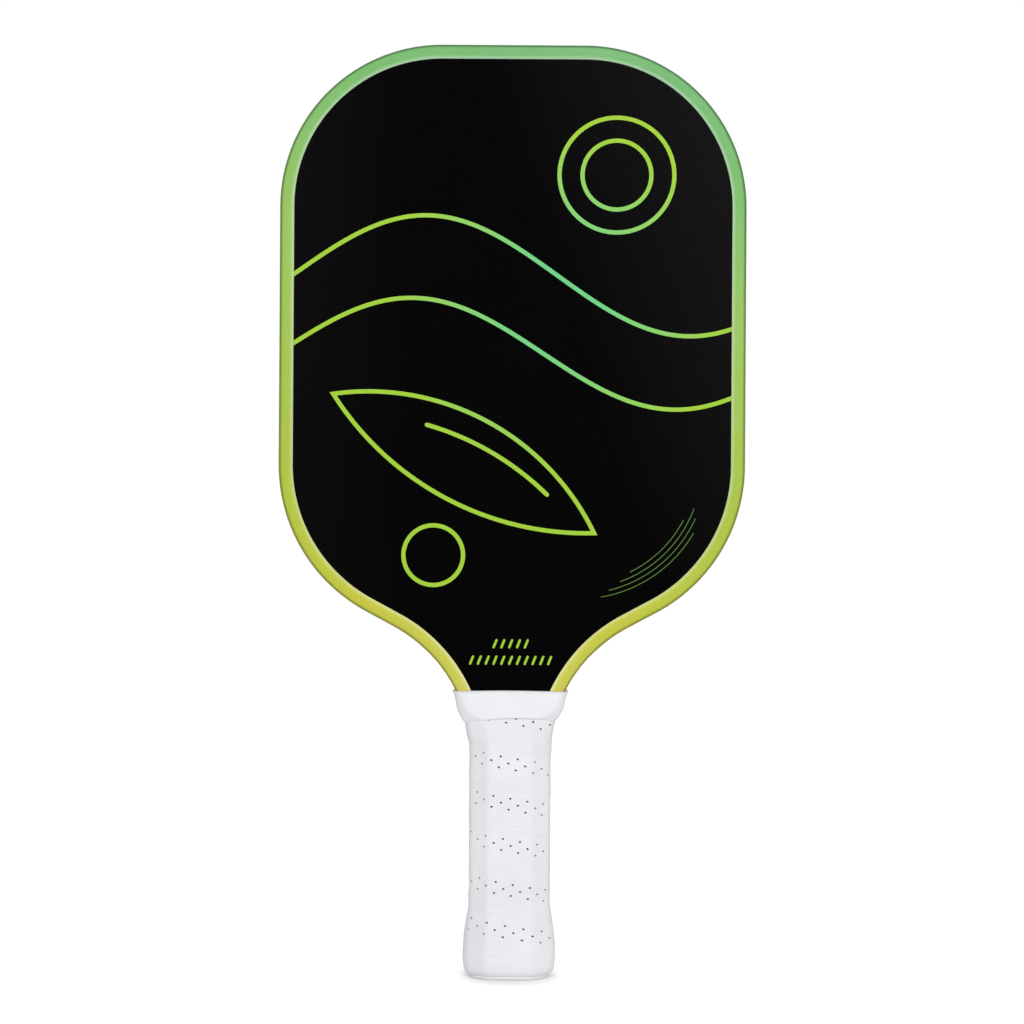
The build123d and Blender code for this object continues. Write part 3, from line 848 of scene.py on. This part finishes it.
class HandleSurface:
    """The backing's outer surface: a place and an outward direction for each turn and height."""

    count = 400
    rounding = 3.4
    butt_rounding = 7.2  # the corners grow rounder down the flare

    def __init__(self):
        self.levels = np.linspace(grip_foot, grip_top, 240)
        rings = []
        for z in self.levels:
            extra = (self.butt_rounding - self.rounding) * max(0, 1 - z / cap_height)
            rings.append(handle_ring(z, flare(z) + backing_thickness, self.rounding + extra, self.count))
        rings = np.array(rings)
        along = np.roll(rings, -2, axis=1) - np.roll(rings, 2, axis=1)
        out = np.stack([-along[..., 1], along[..., 0]], -1)
        out /= np.linalg.norm(out, axis=-1, keepdims=True)
        self.table = np.concatenate([rings, out], -1)

    def at(self, turn, z):
        """(x, y, outward x, outward y) at each turn and height."""
        u = (turn % 1.0) * self.count
        column = np.floor(u).astype(int) % self.count
        along = (u - np.floor(u))[:, None]
        v = (z - self.levels[0]) / (self.levels[1] - self.levels[0])
        row = np.clip(np.floor(v).astype(int), 0, len(self.levels) - 2)
        up = (v - row)[:, None]
        after = (column + 1) % self.count
        low = self.table[row, column] * (1 - along) + self.table[row, after] * along
        high = self.table[row + 1, column] * (1 - along) + self.table[row + 1, after] * along
        return low * (1 - up) + high * up


# ---- grip wrap ----
strip_half_width = 11.4
strip_thickness = 0.85
strip_skive = 4.8  # from each edge to the full thickness
strip_edge_share = 0.12  # of the thickness, at each edge
lap_gap = 0.03  # from each turn to the one over it
strip_pitch = 18.24  # climb for each turn
strip_round = 109.5  # length of a turn
tile_length = 7.7
hole_half_length = 0.56
hole_half_width = 0.44
press_line = -9.5  # a shallow line along the strip's lower edge
first_centre = -7.56  # the strip's middle at turn 0, at the back
start_turn = -0.16
first_hole_turn = 0.8
pull_turn = 5.85  # from here the lower edge was pulled down
pull_drop = 2.6
loose_turn = 6.78  # a small bulge in the last turn
end_turn = 7.55
wound_turns = (0.3, 1.5, 2.5, 3.5, 4.5, 5.5, 6.5, 7.5)
wound_drift = (0.0, 1.4, 1.2, 2.2, 1.9, 1.2, 2.7, 3.2)
foot_heights = (grip_foot, 3.2, 5.5)
foot_shares = (0.5, 0.87, 1.0)  # stretched thin round the foot
rise_angle = math.atan(strip_pitch / strip_round)
cos_rise = math.cos(rise_angle)
turn_length = strip_round / cos_rise  # along the strip

# Positions across the strip, closer at its edges, its pressed line and its holes.
strip_rows = [-11.4, -11.25, -10.9, -10.3, -9.8, -9.5, -9.2, -8.6, -7.6, -6.6, -5.8, -5.0, -4.1, -3.2,
              -2.4, -1.6, -0.8, 0.0, 0.8, 1.6, 2.4, 3.2, 4.4, 5.8, 7.2, 8.8, 10.2, 11.4]


def make_tile(name, holed):
    """One length of flat strip, a unit thick and open at its ends, plain or with three holes."""
    steps = 10
    pitch = tile_length / steps
    hole_spots = [(2, -2.4), (7, 0.0), (2, 2.4)] if holed else []
    holes = [(i, strip_rows.index(w)) for i, w in hole_spots]
    shape = bmesh.new()
    grid = {}
    for layer in (0, 1):
        for i in range(steps + 1):
            for j, w in enumerate(strip_rows):
                if (i, j) not in holes:
                    grid[i, j, layer] = shape.verts.new((i * pitch, w, layer))
    for i in range(steps):
        for layer in (0, 1):
            for j in range(len(strip_rows) - 1):
                if not any(i in (a - 1, a) and j in (b - 1, b) for a, b in holes):
                    square = ((i, j), (i + 1, j), (i + 1, j + 1), (i, j + 1))
                    corners = [grid[a, b, layer] for a, b in square]
                    shape.faces.new(corners if layer else corners[::-1])
        for j in (0, len(strip_rows) - 1):
            side = [grid[i, j, 0], grid[i + 1, j, 0], grid[i + 1, j, 1], grid[i, j, 1]]
            shape.faces.new(side[::-1] if j else side)
    turns = [k * math.pi / 4 for k in range(8)]
    for a, b in holes:
        rims = []
        for layer in (0, 1):
            rim = [shape.verts.new((a * pitch + hole_half_length * math.cos(t),
                                    strip_rows[b] + hole_half_width * math.sin(t), layer)) for t in turns]
            outer = [grid[a + round(math.cos(t)), b + round(math.sin(t)), layer] for t in turns]
            for k in range(8):
                face = [outer[k], outer[(k + 1) % 8], rim[(k + 1) % 8], rim[k]]
                shape.faces.new(face if layer else face[::-1])
            rims.append(rim)
        for k in range(8):
            shape.faces.new([rims[0][k], rims[1][k], rims[1][(k + 1) % 8], rims[0][(k + 1) % 8]])
    mesh = bpy.data.meshes.new(name)
    shape.to_mesh(mesh)
    shape.free()
    return new_object(name, mesh)


def strip_centre(turn):
    """Height of the strip's middle at each turn. The hand-wound pitch drifts a little."""
    return first_centre + strip_pitch * turn + np.interp(turn, wound_turns, wound_drift)


def rising(value, first, run):
    """0 up to the first value, then up to 1 within the run."""
    return np.clip((value - first) / run, 0, 1)


def bell(value, middle, reach):
    """1 in the middle, and soon 0 beyond its reach."""
    return np.exp(-(((value - middle) / reach) ** 2))


def pulled_down(turn, across):
    """How far the last turn's lower edge was pulled down as it was wound."""
    return pull_drop * rising(turn, pull_turn, 0.4) * rising(-across, 3.2, 6.3)


def skived(across):
    """Thickness across the strip: full in the middle, thin at both edges."""
    lower = rising(across, -strip_half_width, strip_skive)
    upper = rising(-across, -strip_half_width, strip_skive)
    return strip_thickness * (strip_edge_share + (1 - strip_edge_share) * np.minimum(lower, upper))


def strip_heights(turn, across, top):
    """Height of the strip's faces above the backing: each turn lies over the edge of the one below."""
    climb = (strip_centre(turn) - strip_centre(turn - 1)) * cos_rise
    below = across - pulled_down(turn, across) + climb
    bridge = rising(below, strip_half_width, 1.6)
    slope = (strip_edge_share * strip_thickness + lap_gap) * (1 - bridge * bridge * (3 - 2 * bridge))
    lies_on = np.where(below < strip_half_width, skived(below) + lap_gap, slope)
    share = across / strip_half_width
    crown = 0.06 * np.cos(np.clip(share, -1, 1) * math.pi / 2)
    pressed = 0.12 * bell(across, press_line, 0.28)
    ripple = 0.07 * np.sin(turn * 23 + across * 0.5) * np.sin(turn * 9.7 + 1.3)
    ripple += 0.04 * np.sin(turn * 61 + across * 0.9 + 0.7)
    bulge = 0.5 * bell(turn, loose_turn, 0.15) * rising(across, -strip_half_width, 2.5)
    thickness = skived(across) + crown - pressed + ripple * np.cos(share * 1.4)
    return lies_on + bulge + top * thickness


def wind(strip, surface):
    """Winds the flat strip up the handle and trims it at the cap's rim and at the grip's end."""
    mesh = strip.data
    flat = np.empty(len(mesh.vertices) * 3)
    mesh.vertices.foreach_get("co", flat)
    along, across, top = flat.reshape(-1, 3).T
    along = along + start_turn * turn_length

    def turn_of(across):
        return (along * cos_rise - across * math.sin(rise_angle)) / strip_round

    def height_of(across):
        turn = turn_of(across)
        return strip_centre(turn) + (across - pulled_down(turn, across)) / cos_rise

    trimmed = across.copy()
    for limit, side in ((grip_foot, 1), (grip_top, -1)):
        reach = trimmed.copy()
        for _ in range(4):
            reach -= (height_of(reach) - limit) * cos_rise
        beyond = (height_of(trimmed) - limit) * side < 0
        trimmed = np.where(beyond, reach, trimmed)
    turn = turn_of(trimmed)
    z = np.clip(height_of(trimmed), grip_foot, grip_top)
    gone = np.abs(trimmed) > strip_half_width + 1e-6
    x, y, out_x, out_y = surface.at(turn, z).T
    high = strip_heights(turn, np.clip(trimmed, -strip_half_width, strip_half_width), top)
    high *= np.interp(z, foot_heights, foot_shares)
    placed = np.stack([x + out_x * high, y + out_y * high, z], 1) * MM
    mesh.vertices.foreach_set("co", placed.ravel())
    shape = bmesh.new()
    shape.from_mesh(mesh)
    shape.verts.ensure_lookup_table()
    waste = [face for face in shape.faces if all(gone[v.index] for v in face.verts)]
    bmesh.ops.delete(shape, geom=waste, context="FACES")
    shape.to_mesh(mesh)
    shape.free()


def make_grip_wrap(finish):
    """The perforated strip, wound in overlapping turns."""
    tree = strip_tree()
    plain, holed = make_tile("plain_tile", False), make_tile("holed_tile", True)
    tiles = round((end_turn - start_turn) * turn_length / tile_length)
    first_holes = round((first_hole_turn - start_turn) * turn_length / tile_length)
    source = new_object("grip_strip", bpy.data.meshes.new("grip_strip"))
    tree.put_on(source, {"Plain Tile": plain, "Holed Tile": holed, "Tiles": tiles,
                         "Plain Tiles": first_holes, "Tile Length": tile_length, "Finish": finish})
    strip = plain_piece("grip_wrap_strip", source, weld=1e-3)
    bpy.data.objects.remove(plain)
    bpy.data.objects.remove(holed)
    wind(strip, HandleSurface())
    tidy_mesh(strip.data, 4e-6, 50)
    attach(strip, "root")
    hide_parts("grip_wrap")


# ---- collar ----
def collar_height_at(share):
    """Height at a share of the way from the collar's foot to its top."""
    return collar_bottom + share * collar_height


def collar_ring(z, extra, count):
    """The collar's outer section at height z: over the grip at its foot, over the guard at its top.

    extra is added to its wall."""
    share = (z - collar_bottom) / collar_height
    upper = min(1, max(0, (z - collar_bottom) / (collar_height - collar_belly_drop)))
    drop = collar_top - z
    if drop > collar_belly_drop:
        wall = collar_lip_wall + (collar_belly_wall - collar_lip_wall) * math.sin(upper * math.pi / 2)
    else:
        wall = collar_top_wall + (collar_belly_wall - collar_top_wall) * (drop / collar_belly_drop) ** 2
    lip_offset = grip_thickness + tape_thickness + collar_lip_wall
    lip_x, lip_y, lip_bevel_x, lip_bevel_y = handle_corners(collar_bottom, lip_offset)
    flat_y = lip_y + share * (guard_half_thickness + collar_top_wall - lip_y) + extra
    grip_x = outline_half_width(z, blade_inset) + grip_thickness
    guard_x = outline_half_width(z, 0)
    side_x = max(grip_x + (guard_x - grip_x) * upper, guard_x) + wall + extra
    flat_share = (1 - share) ** 3
    bevel = collar_bevel + (lip_x - lip_bevel_x - collar_bevel) * flat_share
    fall = collar_bevel + (lip_y - lip_bevel_y - collar_bevel) * flat_share
    foot_rounding, top_rounding = 2.6, 4.0
    rounding = foot_rounding + (top_rounding - foot_rounding) * share
    return rounded_ring(side_x, flat_y, side_x - bevel, flat_y - fall, rounding, count)


def guard_bore(ring, z):
    """Points of a ring drawn in to the guard and the blade's faces."""
    gap = 0.03
    guard_x = outline_half_width(z, 0) + gap
    x = np.clip(ring[:, 0], -guard_x, guard_x)
    on_lip = rising(np.abs(x), guard_x - guard_lip_width - 0.1, 0.2)
    depth = blade_half_thickness + gap + on_lip * (guard_half_thickness - blade_half_thickness)
    return np.stack([x, np.sign(ring[:, 1]) * np.minimum(np.abs(ring[:, 1]), depth)], 1)


def collar_rows(count):
    """Rings of the collar's closed skin: up the outside, over the top edge and down the bore."""
    foot = [(0.0, -0.5), (0.015, -0.27), (0.04, -0.1), (0.08, -0.02)]
    belly = [(0.15 + 0.07 * k, 0.0) for k in range(11)]
    groove = [(0.885, -0.02), (0.9, -0.09), (0.912, -0.13), (0.924, -0.06)]
    rolled_edge = [(0.94, 0.12), (0.957, 0.2), (0.975, 0.16), (0.988, 0.0), (0.996, -0.25), (1.0, -0.6)]
    rows = []
    for share, extra in foot + belly + groove + rolled_edge:
        rows.append((share, collar_ring(collar_height_at(share), extra, count)))
    for share in (1.0, 0.75, 0.49):
        z = collar_height_at(share)
        rows.append((share, guard_bore(collar_ring(z, 0, count), z)))
    bore_offset, bore_rounding = grip_thickness + tape_thickness + 0.02, 2.4
    for share in (0.42, 0.2, 0.0):
        rows.append((share, handle_ring(collar_height_at(share), bore_offset, bore_rounding, count)))
    return rows


def make_collar(finish):
    """A stretched rubber ring. Its foot arches a little over each flat, and so does its top edge."""
    count = 176
    foot_arch, top_arch, foot_slant = 1.8, 0.4, 0.03
    arch_half_width = 20.0
    points = []
    for share, ring in collar_rows(count):
        x, y = ring.T
        bow = np.clip(1 - (x / arch_half_width) ** 2, 0, 1) * rising(np.abs(y), 5, 5)
        near_foot = (1 - share) ** 2
        lift = bow * (foot_arch * near_foot + top_arch * share**2) + foot_slant * x * near_foot
        points.append(np.column_stack([ring, collar_height_at(share) + lift]))
    points = np.concatenate(points) * MM
    rows = len(points) // count
    faces = []
    for i in range(rows):
        above = (i + 1) % rows
        for k in range(count):
            after = (k + 1) % count
            faces.append((i * count + k, i * count + after, above * count + after, above * count + k))
    mesh = bpy.data.meshes.new("throat_collar")
    mesh.from_pydata(points.tolist(), [], faces)
    mesh.materials.append(finish)
    tidy_mesh(mesh, 2e-6, 50)
    collar = new_object("throat_collar", mesh)
    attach(collar, "root")
    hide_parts("grip_collar")


# ---- the paddle ----
def finish_nodes(finishes):
    """Gives each solid that stays its finish."""
    for node, material in finishes.items():
        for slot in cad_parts[node].material_slots:
            slot.material = material


carbon = raw_carbon()
ply = carbon_ply()
film = bond_film()
pallet = closed_foam("pallet_foam", (0.72, 0.62, 0.44), (0.46, 0.38, 0.24), 900.0)
finish_nodes({
    "front_face_ply": carbon, "back_face_ply": carbon,
    "front_inner_ply": ply, "back_inner_ply": ply, "edge_wrap_ply": ply,
    "front_bond_film": film, "back_bond_film": film,
    "honeycomb_core": core_plastic(),
    "edge_foam": closed_foam("edge_foam", (0.9, 0.86, 0.74), (0.66, 0.62, 0.5), 700.0),
    "edge_tape": foam_tape(),
    "front_handle_pallet": pallet, "back_handle_pallet": pallet,
    "butt_cap": white_cap(),
    "butt_cap_staples": staple_steel(),
    "grip_start_staple": staple_steel(),
    "grip_backing": cushion_backing(),
    "finishing_tape": clear_tape(),
})
sweep = sweep_tree()
inks = [print_ink("print_ink", srgb(158, 202, 55), srgb(108, 203, 128)),
        print_ink("fine_ink", srgb(88, 128, 52), srgb(70, 130, 75))]
make_edge_guard(sweep, guard_plastic())
make_print("front_print", "front", sweep, inks)
make_print("back_print", "back", sweep, inks)
make_grip_wrap(white_grip())
make_collar(white_rubber())
